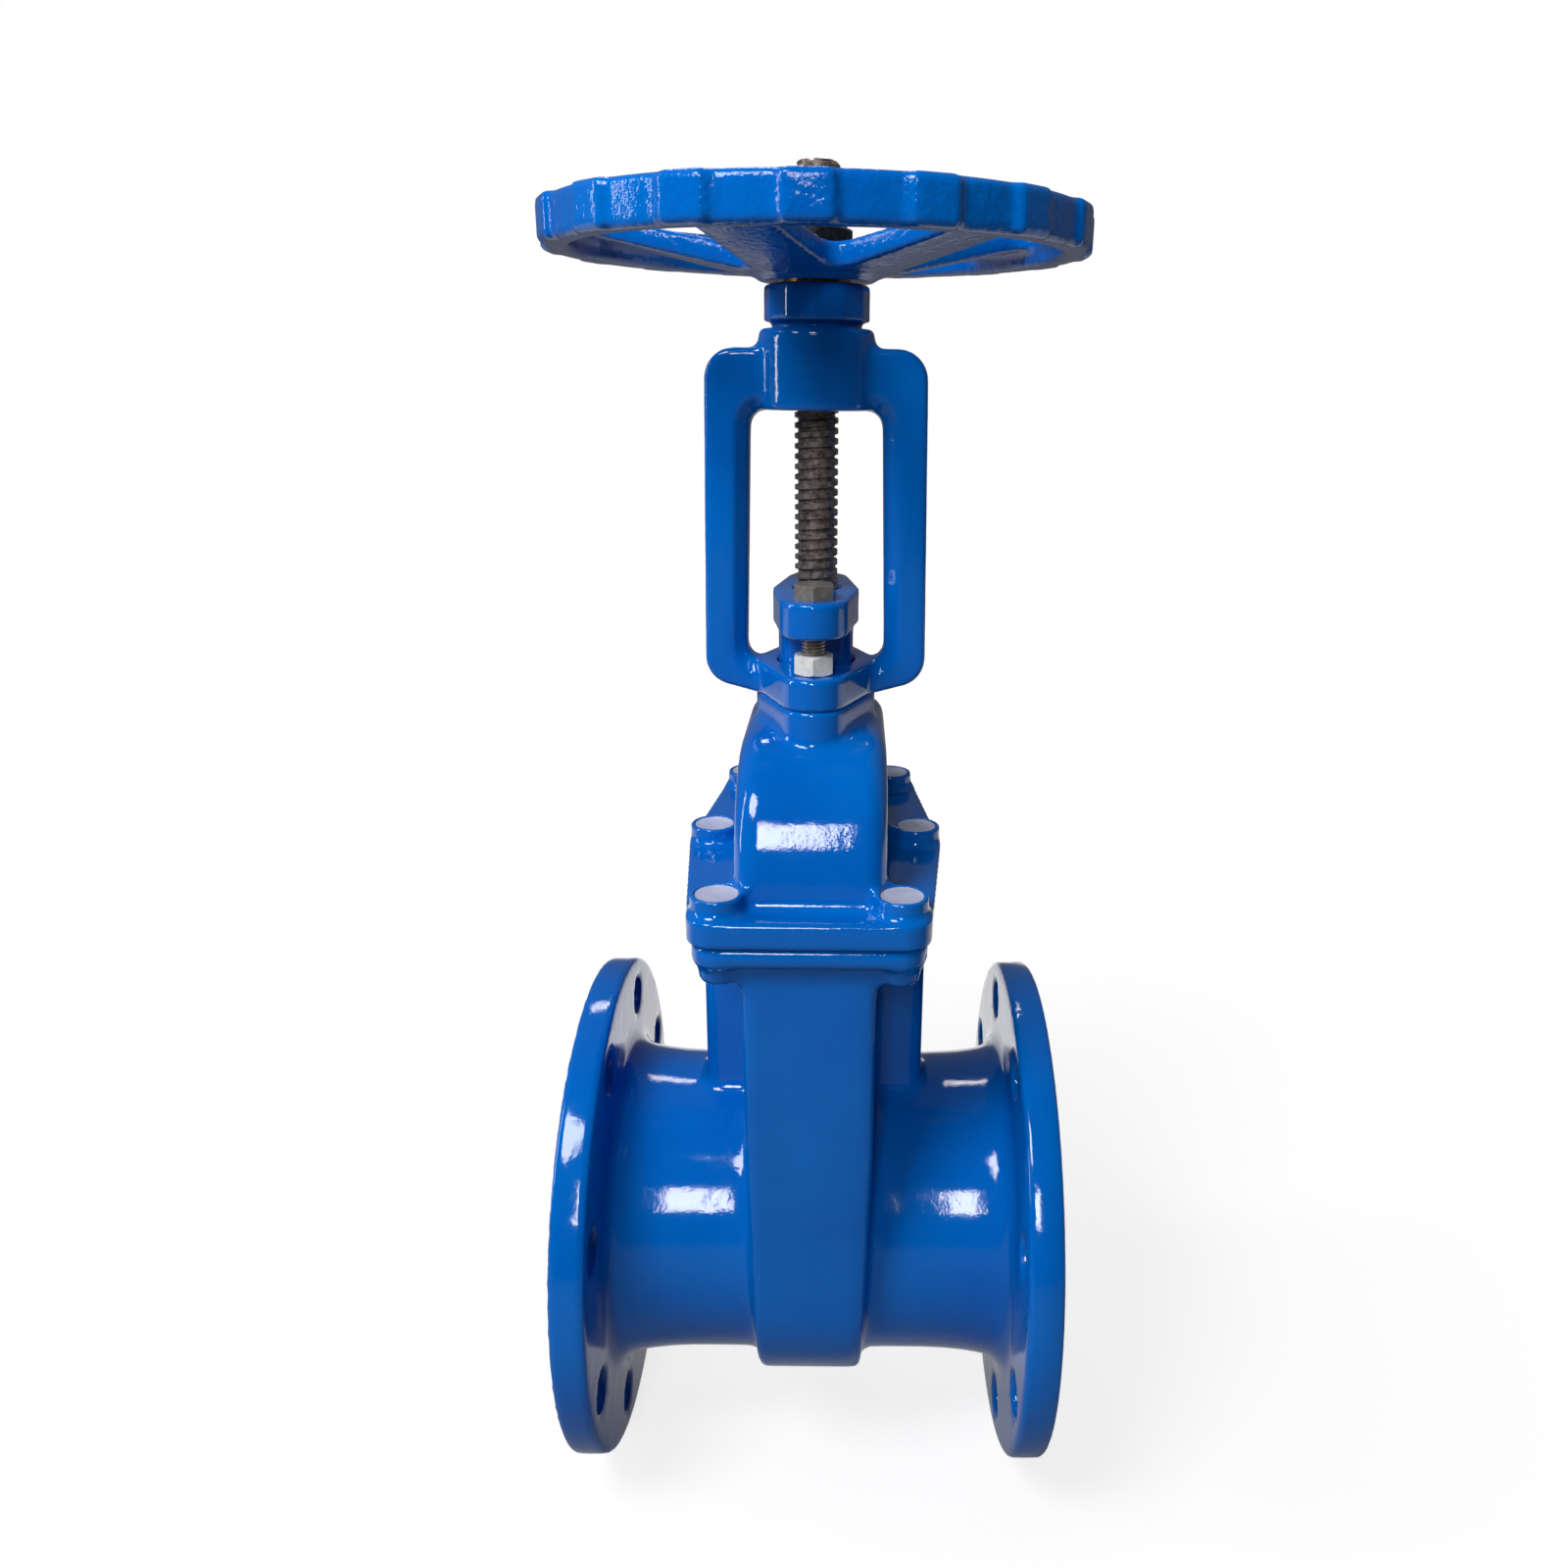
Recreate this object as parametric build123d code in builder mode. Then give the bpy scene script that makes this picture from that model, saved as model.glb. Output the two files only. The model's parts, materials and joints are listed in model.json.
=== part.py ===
"""Rising-stem resilient wedge gate valve: flanged body, bolted bonnet, yoke and lobed handwheel.

Origin at the centre of the inlet bolt circle, on the face of the flange behind its raised face.
+X runs along the bore and +Z up along the stem.
Heights are measured from the bore axis. Lengths are in millimetres.
"""
import os
from math import radians, sin, tan

from build123d import *

os.makedirs("parts", exist_ok=True)

# Pipe ends
face_to_face = 267.0
bore_diameter = 150.0
barrel_wall = 11.0
barrel_flare_rise = 5.0
barrel_flare_length = 47.0
flange_thickness = 19.0
flange_edge_round = 2.0
flange_root_radius = 12.0
raised_face_height = 3.0
raised_face_setback = 14.5
bolt_circle_reach = 34.0
flange_edge_reach = 22.5
flange_bolt_hole_diameter = 23.0
flange_bolt_count = 8

# Wedge chamber in the body
seat_half_width = 17.0
seat_taper_angle = 3.0
seat_gap = 0.3
chamber_edge_gap = 2.0
guide_depth = 13.0
guide_width = 30.0
chest_wall = 11.0
chest_floor = 8.0
chest_side_wall = 7.0
chest_half_width = 33.0
chest_toe_inset = 5.5
chest_shoulder_rise = 9.0
chest_edge_round = 4.0
neck_height = 134.0
neck_inset = 7.5
neck_half_depth = 18.0
neck_corner_radius = 8.0

# Joint between body and bonnet
joint_overhang = 10.0
joint_end_margin = 13.5
joint_side_margin = 14.0
joint_end_radius = 14.0
joint_side_radius = 30.0
body_flange_thickness = 10.0
body_flange_inset = 2.0
gasket_thickness = 1.0
gasket_inset = 5.0
bonnet_flange_thickness = 13.0
end_screw_spread = 7.0
end_screw_setback = 17.0
side_screw_spread = 18.5
boss_wall = 2.5
boss_height = 10.0
under_boss_depth = 12.0
under_boss_taper = 8.0

# Bonnet
dome_half_width = 37.5
dome_end_setback = 18.0
dome_arch_rise = 73.0
dome_side_radius = 85.0
dome_side_angle = 30.0
dome_edge_round = 11.0
dome_wall = 9.0
dome_roof_thickness = 26.0
stuffing_box_rise = 14.0
stuffing_box_wall = 11.5
ear_radius = 17.0
gland_bolt_spread = 18.0
packing_width = 9.0
packing_depth = 30.0
packing_height = 16.0

# Screws that hold the bonnet on the body
screw_diameter = 12.0
screw_head_rim = 3.0
screw_head_height = 11.0
screw_socket_width = 10.0
screw_socket_depth = 6.0
screw_head_gap = 1.5
screw_reach = 11.0
screw_tip_gap = 2.0
thread_gap = 0.05
seal_plug_thickness = 2.0
seal_plug_setback = 1.0

# Yoke
yoke_base_thickness = 16.5
yoke_window_half_width = 33.0
yoke_window_height = 125.5
yoke_leg_splay = 3.0
yoke_leg_width = 21.5
yoke_leg_depth = 26.0
yoke_foot_rise = 7.0
yoke_bar_thickness = 29.0
yoke_outer_radius = 15.0
yoke_window_radius = 8.0
yoke_window_bevel = 7.0
yoke_edge_round = 2.5
yoke_boss_wall = 6.5
yoke_boss_rise = 9.0
yoke_boss_chamfer = 2.0

# Gland and its bolts
gland_lift = 19.5
gland_thickness = 18.0
gland_centre_rim = 2.5
gland_tube_gap = 0.3
gland_edge_round = 1.5
gland_bolt_diameter = 12.0
gland_bolt_hole_gap = 0.5
gland_bolt_head_rim = 3.5
gland_bolt_head_height = 7.5
gland_bolt_grip_depth = 20.0

# Stem
stem_diameter = 22.0
stem_stand = 28.0
stem_top_chamfer = 2.0
stem_bore_gap = 0.5
stem_gland_gap = 1.0
stem_head_rim = 6.0
stem_head_height = 10.0

# Wedge
wedge_overlap = 4.0
wedge_seat_width = 17.0
wedge_dish_depth = 3.0
wedge_hook_wall = 8.5
wedge_hook_thickness = 12.0
wedge_hook_radius = 6.0
slot_rise = 7.0
slot_gap = 0.5
lug_drop = 8.0
lug_height = 70.0
lug_half_width = 9.0
lug_depth = 8.0
shoe_gap = 1.5

# Stem nut and its retaining ring
nut_wall = 3.5
nut_flat_cut = 1.5
nut_shoulder = 1.5
nut_journal_step = 0.5
nut_collar_step = 5.2
nut_collar_height = 12.0
nut_collar_sink = 17.7
nut_stand = 1.5
running_gap = 0.06
face_gap = 0.3
ring_bore_gap = 0.6
ring_stand = 3.0
ring_height = 17.0
ring_setback = 2.5
ring_side_count = 12
ring_edge_chamfer = 1.5

# Handwheel
wheel_gap = 1.0
wheel_hub_height = 12.5
wheel_hub_wall = 13.5
wheel_dish = 11.5
wheel_rim_diameter = 256.0
wheel_rim_width = 12.0
wheel_rim_height = 20.0
wheel_rim_chamfer = 2.0
lobe_count = 16
lobe_width = 22.0
lobe_rise = 3.0
lobe_round_share = 5 / 6
spoke_count = 5
first_spoke_angle = -112.0
spoke_hub_width = 40.0
spoke_rim_width = 36.0
spoke_rim_height = 8.0
spoke_rim_inset = 10.5
window_corner_radius = 8.0
window_margin = 2.0
washer_thickness = 2.0
washer_inset = 8.0
lock_nut_wall = 2.5
lock_nut_height = 9.0

# Pipe ends and wedge chamber, worked out from the sizes above
stem_x = face_to_face / 2 - raised_face_height
outlet_x = 2 * stem_x
bore_radius = bore_diameter / 2
barrel_radius = bore_radius + barrel_wall
flare_radius = barrel_radius + barrel_flare_rise
flare_end_x = flange_thickness + barrel_flare_length
bolt_circle_radius = barrel_radius + bolt_circle_reach
flange_radius = bolt_circle_radius + flange_edge_reach
raised_face_radius = bolt_circle_radius - raised_face_setback
wedge_radius = bore_radius + wedge_overlap
chamber_radius = wedge_radius + chamber_edge_gap
chamber_half_depth = chamber_radius + guide_depth
chest_half_depth = chamber_half_depth + chest_wall
chest_floor_depth = chamber_radius + chest_floor
chest_toe_half_width = chest_half_width - chest_toe_inset
chest_shoulder_height = barrel_radius + chest_shoulder_rise
seat_slope = tan(radians(seat_taper_angle))
chamber_half_width = chest_half_width - chest_side_wall
chamber_side_height = (chamber_half_width - seat_half_width) / seat_slope

# Bonnet joint, its screws and the stuffing box
joint_height = barrel_radius + neck_height
gasket_bottom = joint_height - gasket_thickness
body_flange_bottom = gasket_bottom - body_flange_thickness
bonnet_flange_top = joint_height + bonnet_flange_thickness
boss_top = bonnet_flange_top + boss_height
joint_half_depth = chest_half_depth + joint_overhang
end_screw_x = dome_half_width + end_screw_spread
end_screw_y = joint_half_depth - end_screw_setback
side_screw_x = dome_half_width + side_screw_spread
joint_end_half_width = end_screw_x + joint_end_margin
joint_half_width = side_screw_x + joint_side_margin
neck_half_width = joint_half_width - neck_inset
screw_radius = screw_diameter / 2
screw_head_radius = screw_radius + screw_head_rim
screw_counterbore_radius = screw_head_radius + screw_head_gap
screw_counterbore_depth = screw_head_height + seal_plug_thickness + seal_plug_setback
screw_seat_height = boss_top - screw_counterbore_depth
screw_tip_height = joint_height - screw_reach
boss_radius = screw_counterbore_radius + boss_wall
dome_half_depth = joint_half_depth - dome_end_setback
dome_spring_height = bonnet_flange_top
dome_top_height = dome_spring_height + dome_arch_rise
dome_roof_height = dome_top_height - dome_roof_thickness
bonnet_top_height = dome_top_height + stuffing_box_rise
stem_radius = stem_diameter / 2
packing_bore_radius = stem_radius + packing_width
packing_floor_height = bonnet_top_height - packing_depth
packing_top = packing_floor_height + packing_height
bonnet_neck_radius = packing_bore_radius + stuffing_box_wall
gland_bolt_reach = packing_bore_radius + gland_bolt_spread

# Stack of heights from the yoke to the top of the stem
yoke_base_top = bonnet_top_height + yoke_base_thickness
yoke_window_top = yoke_base_top + yoke_window_height
yoke_bar_top = yoke_window_top + yoke_bar_thickness
yoke_boss_top = yoke_bar_top + yoke_boss_rise
gland_bottom = yoke_base_top + gland_lift
gland_top = gland_bottom + gland_thickness
nut_collar_bottom = yoke_boss_top - nut_collar_sink
nut_collar_top = nut_collar_bottom + nut_collar_height
ring_bottom = yoke_boss_top + ring_stand
ring_top = ring_bottom + ring_height
wheel_hub_bottom = ring_top + wheel_gap
wheel_hub_top = wheel_hub_bottom + wheel_hub_height
wheel_rim_bottom = wheel_hub_bottom + wheel_dish
washer_top = wheel_hub_top + washer_thickness
nut_top = washer_top + lock_nut_height + nut_stand
stem_top = nut_top + stem_stand
slot_floor_height = wedge_radius + slot_rise
wedge_hook_top = slot_floor_height + stem_head_height + wedge_hook_thickness

# Radii and widths round the stem
gland_tube_radius = packing_bore_radius - gland_tube_gap
gland_bolt_radius = gland_bolt_diameter / 2
gland_bolt_hole_radius = gland_bolt_radius + gland_bolt_hole_gap
stem_head_radius = stem_radius + stem_head_rim
nut_bore_radius = stem_radius + running_gap
nut_spindle_radius = stem_radius + nut_wall
nut_flat_half_width = nut_spindle_radius - nut_flat_cut
nut_neck_radius = nut_spindle_radius + nut_shoulder
nut_journal_radius = nut_neck_radius + nut_journal_step
nut_collar_radius = nut_journal_radius + nut_collar_step
nut_counterbore_radius = nut_collar_radius + face_gap
yoke_boss_radius = nut_counterbore_radius + yoke_boss_wall
ring_radius = yoke_boss_radius - ring_setback
wheel_hub_radius = nut_spindle_radius + wheel_hub_wall
wheel_rim_radius = wheel_rim_diameter / 2
washer_radius = wheel_hub_radius - washer_inset

# Planes through the stem axis: level, along the bore and across the bore
level_plane = Plane(origin=(stem_x, 0, 0))
along_plane = Plane(origin=(stem_x, 0, 0), x_dir=(1, 0, 0), z_dir=(0, -1, 0))
across_plane = Plane(origin=(stem_x, 0, 0), x_dir=(0, 1, 0), z_dir=(1, 0, 0))
stem_axis = Axis(level_plane.origin, level_plane.z_dir)

# Centres of the bonnet screws, seen from the stem axis
screw_places = {
    "front_left": (-end_screw_x, -end_screw_y),
    "front_right": (end_screw_x, -end_screw_y),
    "middle_left": (-side_screw_x, 0),
    "middle_right": (side_screw_x, 0),
    "rear_left": (-end_screw_x, end_screw_y),
    "rear_right": (end_screw_x, end_screw_y),
}
gland_bolt_places = {"front": (0, -gland_bolt_reach), "rear": (0, gland_bolt_reach)}


def chamber_outline(half_depth, floor_depth, top):
    """Edges of a U across the bore: straight sides that end in half an ellipse."""
    with BuildLine(Plane.XY, mode=Mode.PRIVATE) as outline:
        EllipticalCenterArc((0, 0), half_depth, floor_depth, start_angle=180, arc_size=180)
        Polyline((half_depth, 0), (half_depth, top), (-half_depth, top), (-half_depth, 0))
    return outline.edges()


def arch_outline(half_depth, spring, top, foot, side_radius):
    """Edges of a rounded arch across the bore: steep side arcs, rounder shoulders and a flat top."""
    turned_share = sin(radians(dome_side_angle))
    shoulder_radius = (top - spring - side_radius * turned_share) / (1 - turned_share)
    with BuildLine(Plane.XY, mode=Mode.PRIVATE) as outline:
        Polyline((0, foot), (half_depth, foot), (half_depth, spring))
        side_arc = JernArc((half_depth, spring), (0, 1), side_radius, dome_side_angle)
        shoulder_arc = JernArc(side_arc @ 1, side_arc % 1, shoulder_radius, 90 - dome_side_angle)
        Line(shoulder_arc @ 1, (0, top))
        mirror(about=Plane.YZ)
    return outline.edges()


def joint_outline(inset):
    """Six-sided outline of the bonnet joint with rounded corners, drawn in by the inset."""
    end_x = joint_end_half_width - inset
    side_x = joint_half_width - inset
    end_y = joint_half_depth - inset
    corners = [(end_x, end_y), (-end_x, end_y), (-side_x, 0), (-end_x, -end_y), (end_x, -end_y), (side_x, 0)]
    radii = [joint_end_radius, joint_end_radius, joint_side_radius] * 2
    with BuildLine(Plane.XY, mode=Mode.PRIVATE) as outline:
        FilletPolyline(*corners, radius=radii, close=True)
    return outline.edges()


def seat_half_width_at(height):
    """Half the width between the two seat planes at a height above the bore axis."""
    return seat_half_width + height * seat_slope


def finish(piece, node):
    """Label a finished piece and write it as its own file."""
    piece.label = node
    export_step(piece, "parts/" + node + ".step")


# Space inside the body where the wedge seats and travels
with BuildPart() as wedge_space:
    with BuildSketch(across_plane):
        make_face(chamber_outline(chamber_radius, chamber_radius, joint_height))
    extrude(amount=neck_half_width, both=True)
    with BuildSketch(along_plane):
        low = -chest_floor_depth
        narrow = seat_half_width_at(low)
        wide = chamber_half_width
        space_left = [(-wide, joint_height), (-wide, chamber_side_height), (-narrow, low)]
        space_right = [(narrow, low), (wide, chamber_side_height), (wide, joint_height)]
        Polygon(*space_left, *space_right, align=None)
    extrude(amount=chest_half_depth, both=True, mode=Mode.INTERSECT)
    with BuildSketch(across_plane):
        make_face(chamber_outline(chamber_half_depth, chamber_radius, joint_height))
    extrude(amount=guide_width / 2, both=True)

# Flat chest of the body, which narrows towards its toe
with BuildPart() as chest:
    with BuildSketch(across_plane):
        make_face(chamber_outline(chest_half_depth, chest_floor_depth, body_flange_bottom))
    extrude(amount=chest_half_width, both=True)
    with BuildSketch(along_plane):
        toe = chest_toe_half_width
        side = chest_half_width
        left = [(-toe, -chest_floor_depth), (-side, chest_shoulder_height), (-side, body_flange_bottom)]
        right = [(side, body_flange_bottom), (side, chest_shoulder_height), (toe, -chest_floor_depth)]
        Polygon(*left, *right, align=None)
    extrude(amount=chest_half_depth, both=True, mode=Mode.INTERSECT)
    chest_sides = chest.faces().filter_by(lambda face: abs(face.normal_at().X) > abs(face.normal_at().Y))
    chest_sides = chest_sides.filter_by(lambda face: abs(face.normal_at().X) > abs(face.normal_at().Z))
    chest_rims = chest_sides.edges().filter_by(Axis.Y, reverse=True)
    fillet(chest_rims, chest_edge_round)

# Body casting: two flanged barrels, the chest, the neck and the flange under the bonnet
with BuildPart() as valve_body:
    with BuildSketch(Plane.XZ):
        with BuildLine():
            end_points = [
                (stem_x, barrel_radius),
                (stem_x, 0),
                (-raised_face_height, 0),
                (-raised_face_height, raised_face_radius),
                (0, raised_face_radius),
                (0, flange_radius),
                (flange_thickness, flange_radius),
                (flange_thickness, flare_radius),
            ]
            Polyline(*end_points)
            TangentArc((flare_end_x, barrel_radius), (flange_thickness, flare_radius), tangent=(-1, 0))
            Line((flare_end_x, barrel_radius), (stem_x, barrel_radius))
        make_face()
    revolve(axis=Axis.X)
    mirror(about=across_plane)
    rings = valve_body.edges().filter_by(GeomType.CIRCLE)
    root_edges = rings.filter_by(lambda edge: abs(edge.radius - flare_radius) < seat_gap)
    fillet(root_edges, flange_root_radius)
    rings = valve_body.edges().filter_by(GeomType.CIRCLE)
    rim_edges = rings.filter_by(lambda edge: abs(edge.radius - flange_radius) < seat_gap)
    fillet(rim_edges, flange_edge_round)
    with BuildSketch(level_plane):
        RectangleRounded(2 * neck_half_width, 2 * neck_half_depth, neck_corner_radius)
    extrude(amount=body_flange_bottom)
    add(chest.part)
    with BuildSketch(level_plane.offset(body_flange_bottom)):
        make_face(joint_outline(body_flange_inset))
    extrude(amount=body_flange_thickness)
    with BuildSketch(level_plane.offset(body_flange_bottom)):
        with Locations(*screw_places.values()):
            Circle(boss_radius - body_flange_inset)
    extrude(amount=-under_boss_depth, taper=under_boss_taper)
    add(wedge_space.part, mode=Mode.SUBTRACT)
    with BuildSketch(Plane.YZ.offset(-raised_face_height)):
        Circle(bore_radius)
    extrude(amount=face_to_face, mode=Mode.SUBTRACT)
    first_hole_angle = 180 / flange_bolt_count
    for flange_start in (0, outlet_x - flange_thickness):
        with BuildSketch(Plane.YZ.offset(flange_start)):
            with PolarLocations(bolt_circle_radius, flange_bolt_count, start_angle=first_hole_angle):
                Circle(flange_bolt_hole_diameter / 2)
        extrude(amount=flange_thickness, mode=Mode.SUBTRACT)
    with BuildSketch(level_plane.offset(gasket_bottom)):
        with Locations(*screw_places.values()):
            Circle(screw_radius + thread_gap)
    extrude(amount=screw_tip_height - screw_tip_gap - gasket_bottom, mode=Mode.SUBTRACT)
finish(valve_body.part, "valve_body")

# Flat gasket in the joint, cut back from its edge and open over the chamber
with BuildPart() as bonnet_gasket:
    with BuildSketch(level_plane.offset(gasket_bottom)):
        make_face(joint_outline(gasket_inset))
        Rectangle(2 * chamber_half_width, 2 * chamber_radius, mode=Mode.SUBTRACT)
        Rectangle(guide_width, 2 * chamber_half_depth, mode=Mode.SUBTRACT)
        with Locations(*screw_places.values()):
            Circle(screw_radius + thread_gap, mode=Mode.SUBTRACT)
    extrude(amount=gasket_thickness)
finish(bonnet_gasket.part, "bonnet_gasket")

# Bonnet casting: joint flange with raised bosses, arched dome and the stuffing box on top
with BuildPart() as dome_space:
    with BuildSketch(across_plane):
        inner_half_depth = dome_half_depth - dome_wall
        inner_spring = dome_spring_height - dome_wall
        inner_radius = dome_side_radius - dome_wall
        make_face(arch_outline(inner_half_depth, inner_spring, dome_roof_height, joint_height, inner_radius))
    extrude(amount=dome_half_width - dome_wall, both=True)
    space_rims = dome_space.faces().filter_by(Axis.X).edges()
    fillet(space_rims - space_rims.group_by(Axis.Z)[0], dome_edge_round - dome_wall / 2)

with BuildPart() as bonnet:
    with BuildSketch(across_plane):
        arch_sizes = (dome_half_depth, dome_spring_height, dome_top_height, joint_height, dome_side_radius)
        make_face(arch_outline(*arch_sizes))
    extrude(amount=dome_half_width, both=True)
    dome_rims = bonnet.faces().filter_by(Axis.X).edges()
    fillet(dome_rims - dome_rims.group_by(Axis.Z)[0], dome_edge_round)
    with BuildSketch(level_plane.offset(dome_roof_height)):
        Circle(bonnet_neck_radius)
        with Locations(*gland_bolt_places.values()):
            Circle(ear_radius)
        make_hull()
    extrude(amount=bonnet_top_height - dome_roof_height)
    with BuildSketch(level_plane.offset(joint_height)):
        make_face(joint_outline(0))
    extrude(amount=bonnet_flange_thickness)
    with BuildSketch(level_plane.offset(joint_height)):
        with Locations(*screw_places.values()):
            Circle(boss_radius)
    extrude(amount=boss_top - joint_height)
    add(dome_space.part, mode=Mode.SUBTRACT)
    with BuildSketch(level_plane.offset(dome_roof_height - dome_wall)):
        Circle(stem_radius + stem_bore_gap)
    extrude(amount=bonnet_top_height - dome_roof_height + dome_wall, mode=Mode.SUBTRACT)
    with BuildSketch(level_plane.offset(packing_floor_height)):
        Circle(packing_bore_radius)
    extrude(amount=bonnet_top_height - packing_floor_height, mode=Mode.SUBTRACT)
    with Locations(level_plane.offset(bonnet_top_height)):
        with Locations(*gland_bolt_places.values()):
            Hole(gland_bolt_radius + thread_gap, depth=gland_bolt_grip_depth)
    with BuildSketch(level_plane.offset(joint_height)):
        with Locations(*screw_places.values()):
            Circle(screw_radius + thread_gap)
    extrude(amount=boss_top - joint_height, mode=Mode.SUBTRACT)
    with BuildSketch(level_plane.offset(screw_seat_height)):
        with Locations(*screw_places.values()):
            Circle(screw_counterbore_radius)
    extrude(amount=screw_counterbore_depth, mode=Mode.SUBTRACT)
finish(bonnet.part, "bonnet")

# Socket screws sunk in the bosses, each under a flat plug of sealing wax
for place, (across_x, across_y) in screw_places.items():
    screw_plane = Plane(origin=(stem_x + across_x, across_y, screw_seat_height))
    head_top = screw_plane.offset(screw_head_height)
    with BuildPart() as bonnet_screw:
        with BuildSketch(screw_plane):
            Circle(screw_head_radius)
        extrude(amount=screw_head_height)
        with BuildSketch(head_top):
            RegularPolygon(screw_socket_width / 2, 6, major_radius=False)
        extrude(amount=-screw_socket_depth, mode=Mode.SUBTRACT)
        with BuildSketch(screw_plane):
            Circle(screw_radius)
        extrude(amount=screw_tip_height - screw_seat_height)
    finish(bonnet_screw.part, "bonnet_screw_" + place)
    with BuildPart() as seal_plug:
        with BuildSketch(head_top):
            Circle(screw_counterbore_radius - thread_gap)
        extrude(amount=seal_plug_thickness)
    finish(seal_plug.part, "seal_plug_" + place)

# Yoke: base on the bonnet, two legs round a window and a boss for the stem nut
with BuildPart() as yoke:
    yoke_inner_bottom = yoke_window_half_width + yoke_leg_splay
    yoke_top_half_width = yoke_window_half_width + yoke_leg_width
    yoke_bottom_half_width = yoke_inner_bottom + yoke_leg_width
    foot_height = bonnet_top_height + yoke_foot_rise
    frame_points = [
        (-bonnet_neck_radius, bonnet_top_height),
        (bonnet_neck_radius, bonnet_top_height),
        (yoke_bottom_half_width, foot_height),
        (yoke_top_half_width, yoke_bar_top),
        (-yoke_top_half_width, yoke_bar_top),
        (-yoke_bottom_half_width, foot_height),
    ]
    frame_radii = [0, 0, yoke_outer_radius, yoke_outer_radius, yoke_outer_radius, yoke_outer_radius]
    window_points = [
        (-yoke_inner_bottom, yoke_base_top),
        (yoke_inner_bottom, yoke_base_top),
        (yoke_window_half_width, yoke_window_top),
        (-yoke_window_half_width, yoke_window_top),
    ]
    with BuildSketch(along_plane):
        with BuildLine():
            FilletPolyline(*frame_points, radius=frame_radii, close=True)
        make_face()
    extrude(amount=yoke_leg_depth / 2, both=True)
    fillet(yoke.faces().filter_by(Axis.Y).edges().filter_by(Axis.X, reverse=True), yoke_edge_round)
    with BuildSketch(along_plane):
        with BuildLine():
            FilletPolyline(*window_points, radius=yoke_window_radius, close=True)
        make_face()
    extrude(amount=yoke_leg_depth, both=True, mode=Mode.SUBTRACT)
    window_rims = yoke.faces().filter_by(Axis.Y).wires().sort_by(SortBy.LENGTH)[:2]
    chamfer(window_rims.edges(), yoke_window_bevel)
    with BuildSketch(level_plane.offset(bonnet_top_height)):
        Circle(bonnet_neck_radius)
        with Locations(*gland_bolt_places.values()):
            Circle(ear_radius)
        make_hull()
    extrude(amount=yoke_base_thickness)
    with BuildSketch(level_plane.offset(yoke_window_top)):
        Circle(yoke_boss_radius)
    extrude(amount=yoke_boss_top - yoke_window_top)
    chamfer(yoke.faces().sort_by(Axis.Z)[-1].edges(), yoke_boss_chamfer)
    with BuildSketch(level_plane.offset(bonnet_top_height)):
        Circle(packing_bore_radius + gland_tube_gap)
        with Locations(*gland_bolt_places.values()):
            Circle(gland_bolt_hole_radius)
    extrude(amount=yoke_base_thickness, mode=Mode.SUBTRACT)
    with BuildSketch(level_plane.offset(yoke_window_top)):
        Circle(nut_journal_radius + running_gap)
    extrude(amount=yoke_boss_top - yoke_window_top, mode=Mode.SUBTRACT)
    with BuildSketch(level_plane.offset(nut_collar_bottom - face_gap)):
        Circle(nut_counterbore_radius)
    extrude(amount=yoke_boss_top - nut_collar_bottom + face_gap, mode=Mode.SUBTRACT)
finish(yoke.part, "yoke")

# Packing ring round the stem at the bottom of the stuffing box
with BuildPart() as stem_packing:
    with BuildSketch(level_plane.offset(packing_floor_height)):
        Circle(packing_bore_radius)
        Circle(stem_radius + running_gap, mode=Mode.SUBTRACT)
    extrude(amount=packing_height)
finish(stem_packing.part, "stem_packing")

# Gland: a plate with two ears over a tube that presses the packing
with BuildPart() as gland:
    with BuildSketch(level_plane.offset(gland_bottom)):
        Circle(packing_bore_radius + gland_centre_rim)
        with Locations(*gland_bolt_places.values()):
            Circle(ear_radius)
        make_hull()
    extrude(amount=gland_thickness)
    fillet(gland.edges().group_by(Axis.Z)[-1], gland_edge_round)
    with BuildSketch(level_plane.offset(packing_top)):
        Circle(gland_tube_radius)
    extrude(amount=gland_bottom - packing_top)
    with BuildSketch(level_plane.offset(packing_top)):
        Circle(stem_radius + stem_gland_gap)
    extrude(amount=gland_top - packing_top, mode=Mode.SUBTRACT)
    with BuildSketch(level_plane.offset(gland_bottom)):
        with Locations(*gland_bolt_places.values()):
            Circle(gland_bolt_hole_radius)
    extrude(amount=gland_thickness, mode=Mode.SUBTRACT)
finish(gland.part, "gland")

# Hexagon bolts that draw the gland and the yoke base down on the bonnet
for place, (across_x, across_y) in gland_bolt_places.items():
    bolt_plane = Plane(origin=(stem_x + across_x, across_y, gland_top))
    with BuildPart() as gland_bolt:
        with BuildSketch(bolt_plane):
            RegularPolygon(gland_bolt_radius + gland_bolt_head_rim, 6, major_radius=False)
        extrude(amount=gland_bolt_head_height)
        with BuildSketch(bolt_plane):
            Circle(gland_bolt_radius)
        extrude(amount=-(gland_top - bonnet_top_height + gland_bolt_grip_depth - screw_tip_gap))
    finish(gland_bolt.part, "gland_bolt_" + place)

# Stem with a flat head that hooks into the wedge
with BuildPart() as stem:
    with BuildSketch(level_plane.offset(slot_floor_height)):
        Circle(stem_head_radius)
    extrude(amount=stem_head_height)
    with BuildSketch(level_plane.offset(slot_floor_height)):
        Circle(stem_radius)
    extrude(amount=stem_top - slot_floor_height)
    chamfer(stem.edges().group_by(Axis.Z)[-1], stem_top_chamfer)
finish(stem.part, "stem")

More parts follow.
